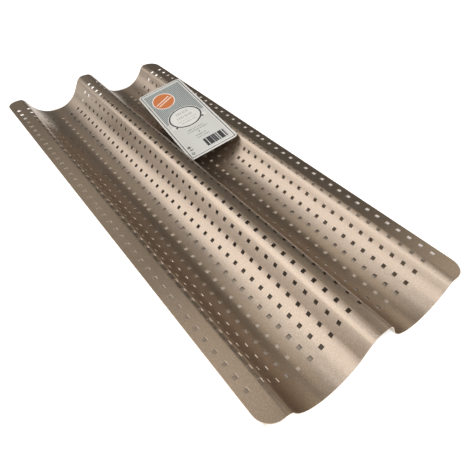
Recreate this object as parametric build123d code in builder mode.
"""Perforated double baguette tray: one pressed steel sheet with two round channels.

Frame: +Z up, +Y along the channels, +X across them.  The origin is at the
centre of the footprint, on the surface that the channel bottoms rest on.
All sizes are in millimetres.
"""
import os
from math import cos, radians, sin

from build123d import *

# ---------------------------------------------------------------- driving sizes
TRAY_LENGTH = 385.0
TRAY_WIDTH = 162.0
SHEET = 0.6

# cross-section, given on the middle surface of the sheet, centre line outwards
RIDGE_HALF_FLAT = 1.7
RIDGE_BEND_RADIUS = 8.0
RIDGE_WALL_ANGLE = 61.8
RIDGE_WALL_LENGTH = 9.1
CHANNEL_RADIUS = 27.8
OUTER_WALL_ANGLE = 60.0
OUTER_WALL_LENGTH = 3.7
CREST_BEND_RADIUS = 6.2
FLANGE_CORNER_RADIUS = 10.5

# perforation: square holes punched in two strokes along the length
HOLE_SIDE = 2.7
PITCH_ALONG = 8.85
PITCH_ACROSS = 9.1
ROWS_PER_HALF = 11
HOLES_PER_STROKE = 20
STROKE_GAP = 6.3
PUNCH_REACH = 1.5

# printed product card, leaning on the right crest with its low edge in the channel
CARD_WIDTH = 47.2
CARD_LENGTH = 121.0
CARD_THICKNESS = 0.5
CARD_CORNER_RADIUS = 3.5
CARD_TILT = 13.6
CARD_HEADING = 7.0
CARD_X = 47.5
CARD_Y = 77.4
CARD_GAP = 0.5

# oval sticker on the card, measured from the card's centre
STICKER_HALF_WIDTH = 11.3
STICKER_HALF_LENGTH = 14.0
STICKER_THICKNESS = 0.12
STICKER_ACROSS = -5.8
STICKER_ALONG = 35.6

os.makedirs("parts", exist_ok=True)


# ---------------------------------------------------------------- cross-section
def half_section_steps(lift):
    """Straight runs (length) and bends (radius, turn) of one half of the section.

    lift is the height of the drawn line above the middle surface; it widens
    the bends that are seen from above and tightens the channel.
    """
    channel_turn = RIDGE_WALL_ANGLE + OUTER_WALL_ANGLE
    return [
        ("run", RIDGE_HALF_FLAT, 0.0),
        ("bend", RIDGE_BEND_RADIUS + lift, -RIDGE_WALL_ANGLE),
        ("run", RIDGE_WALL_LENGTH, 0.0),
        ("bend", CHANNEL_RADIUS - lift, channel_turn),
        ("run", OUTER_WALL_LENGTH, 0.0),
        ("bend", CREST_BEND_RADIUS + lift, -OUTER_WALL_ANGLE),
    ]


def walk(steps, start, distance=None):
    """Follow the steps from start; stop after distance if it is given.

    Returns the point reached and the heading there in degrees.
    """
    x, z = start
    heading = 0.0
    left = float("inf") if distance is None else distance
    for kind, size, turn in steps:
        span = size if kind == "run" else size * radians(abs(turn))
        used = min(span, left)
        if kind == "run":
            x += used * cos(radians(heading))
            z += used * sin(radians(heading))
        else:
            side = 1.0 if turn > 0 else -1.0
            after = heading + side * used / radians(1.0) / size
            x += side * size * (sin(radians(after)) - sin(radians(heading)))
            z -= side * size * (cos(radians(after)) - cos(radians(heading)))
            heading = after
        left -= used
        if left <= 0.0:
            break
    if left > 0.0 and distance is not None:
        x += left * cos(radians(heading))
        z += left * sin(radians(heading))
    return (x, z), heading


def drop(angle, radius):
    """Height lost by a bend that turns from level to the angle."""
    return radius * (1.0 - cos(radians(angle)))


RIDGE_TO_BOTTOM = (
    drop(RIDGE_WALL_ANGLE, RIDGE_BEND_RADIUS)
    + RIDGE_WALL_LENGTH * sin(radians(RIDGE_WALL_ANGLE))
    + drop(RIDGE_WALL_ANGLE, CHANNEL_RADIUS)
)
RIDGE_MIDDLE_Z = RIDGE_TO_BOTTOM + SHEET / 2
CREST_X, CREST_Z = walk(half_section_steps(0.0), (0.0, RIDGE_MIDDLE_Z))[0]


def section_line(lift):
    """Draw one face of the half section and return its start and end points."""
    point = (0.0, RIDGE_MIDDLE_Z + lift)
    first = point
    heading = 0.0
    for kind, size, turn in half_section_steps(lift):
        direction = (cos(radians(heading)), sin(radians(heading)))
        if kind == "run":
            edge = PolarLine(point, size, angle=heading)
        else:
            edge = JernArc(start=point, tangent=direction, radius=size, arc_size=turn)
            heading += turn
        end = edge @ 1
        point = (end.X, end.Y)
    last = (TRAY_WIDTH / 2, point[1])
    Line(point, last)
    return first, last


# ---------------------------------------------------------------- perforation
def hole_positions():
    """Distances along Y of the holes of one row, both punch strokes."""
    one_stroke = [STROKE_GAP / 2 + i * PITCH_ALONG for i in range(HOLES_PER_STROKE)]
    return [-y for y in one_stroke] + one_stroke


def row_plane(row, side):
    """Plane on the sheet's middle surface at one row of holes."""
    distance = (row + 0.5) * PITCH_ACROSS
    (x, z), heading = walk(half_section_steps(0.0), (0.0, RIDGE_MIDDLE_Z), distance)
    normal = (-side * sin(radians(heading)), 0.0, cos(radians(heading)))
    return Plane(origin=(side * x, 0.0, z), x_dir=(0.0, 1.0, 0.0), z_dir=normal)


with BuildPart() as tray_sheet:
    with BuildSketch(Plane.XZ) as section:
        with BuildLine():
            top_start, top_end = section_line(SHEET / 2)
            low_start, low_end = section_line(-SHEET / 2)
            Line(top_end, low_end)
            Line(top_start, low_start)
        make_face()
        mirror(about=Plane.YZ)
    extrude(amount=TRAY_LENGTH / 2, both=True)
    fillet(tray_sheet.edges().filter_by(Axis.Z), radius=FLANGE_CORNER_RADIUS)
    for side in (-1, 1):
        for row in range(ROWS_PER_HALF):
            with BuildSketch(row_plane(row, side)):
                with Locations(*[(y, 0.0) for y in hole_positions()]):
                    Rectangle(HOLE_SIDE, HOLE_SIDE)
    extrude(amount=PUNCH_REACH, both=True, mode=Mode.SUBTRACT)

tray_sheet.part.label = "tray_sheet"


# ---------------------------------------------------------------- product card
def card_plane():
    """Plane of the card's underside, resting CARD_GAP clear of the crest's bend."""
    tilt = radians(CARD_TILT)
    heading = radians(CARD_HEADING)
    normal = Vector(-sin(tilt), 0.0, cos(tilt))
    uphill = Vector(cos(tilt), 0.0, sin(tilt))
    along = Vector(0.0, 1.0, 0.0)
    bend_centre = Vector(CREST_X, 0.0, CREST_Z - CREST_BEND_RADIUS)
    reach = CREST_BEND_RADIUS + SHEET / 2 + CARD_GAP
    touch = bend_centre + normal * reach
    centre = touch + uphill * ((CARD_X - touch.X) / uphill.X) + along * CARD_Y
    across = uphill * cos(heading) - along * sin(heading)
    return Plane(origin=centre, x_dir=across, z_dir=normal)


CARD_PLANE = card_plane()

with BuildPart() as product_card:
    with BuildSketch(CARD_PLANE):
        RectangleRounded(CARD_WIDTH, CARD_LENGTH, CARD_CORNER_RADIUS)
    extrude(amount=CARD_THICKNESS)

product_card.part.label = "product_card"

with BuildPart() as oval_sticker:
    with BuildSketch(CARD_PLANE.offset(CARD_THICKNESS)):
        with Locations((STICKER_ACROSS, STICKER_ALONG)):
            Ellipse(STICKER_HALF_WIDTH, STICKER_HALF_LENGTH)
    extrude(amount=STICKER_THICKNESS)

oval_sticker.part.label = "oval_sticker"

# ---------------------------------------------------------------- files
for piece in (tray_sheet.part, product_card.part, oval_sticker.part):
    export_step(piece, f"parts/{piece.label}.step")
    size = piece.bounding_box().size
    print(piece.label, "size", size, "volume", round(piece.volume, 1))
print("ridge height", RIDGE_MIDDLE_Z + SHEET / 2, "flange height", CREST_Z + SHEET / 2)
